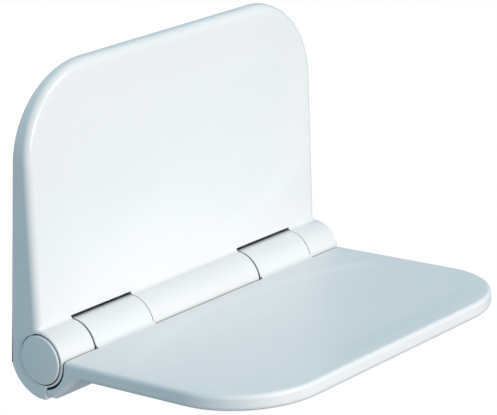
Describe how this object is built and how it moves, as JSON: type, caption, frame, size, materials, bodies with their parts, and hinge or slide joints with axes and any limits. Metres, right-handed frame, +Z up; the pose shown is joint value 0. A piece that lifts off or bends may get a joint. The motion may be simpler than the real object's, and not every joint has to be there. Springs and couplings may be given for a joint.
{
  "type": "folding wall-mounted shower seat",
  "caption": "Wall-mounted folding shower seat: white moulded backrest and seat panel joined by a knuckled hinge barrel, with hidden steel mounting frame.",
  "frame": {"origin": "on the wall plane, at the centre of the four wall screw holes, midway across the width", "axes": "+X along the hinge axis, to the right of a person facing the wall; +Y into the wall; +Z up"},
  "size_m": [0.38, 0.2719, 0.2824],
  "materials": {
    "backrest_plastic": "gloss moulded white",
    "seat_plastic": "gloss moulded white",
    "cap_plastic": "gloss moulded white",
    "cover_plastic": "fine-grained moulded white",
    "black_rubber": "matt",
    "zinc_steel": "zinc-plated sheet",
    "stainless_steel": "turned stainless",
    "cast_aluminium": "as cast",
    "nylon": "natural, satin"
  },
  "bodies": {
    "backrest": {"backrest_shell": "backrest_plastic", "end_cap_left": "cap_plastic", "end_cap_right": "cap_plastic", "wall_gasket": "black_rubber", "stop_pads": "black_rubber", "wall_plate": "zinc_steel", "back_frame": "zinc_steel", "frame_screws": "stainless_steel", "lock_screws": "stainless_steel", "lock_nuts": "stainless_steel", "hinge_rod": "stainless_steel", "rod_washers": "stainless_steel", "rod_screws": "stainless_steel"},
    "seat": {"seat_shell": "seat_plastic", "seat_base_cover": "cover_plastic", "cover_screws": "stainless_steel", "seat_arm_left": "cast_aluminium", "seat_arm_right": "cast_aluminium", "seat_bush_left_a": "nylon", "seat_bush_left_b": "nylon", "seat_bush_right_a": "nylon", "seat_bush_right_b": "nylon"}
  },
  "joints": [
    {"name": "seat_fold", "type": "hinge", "parent": "backrest", "child": "seat", "pos_m": [0, -0.0347, -0.105], "axis": [-1, 0, 0], "range_deg": [0, 83.5]}
  ]
}
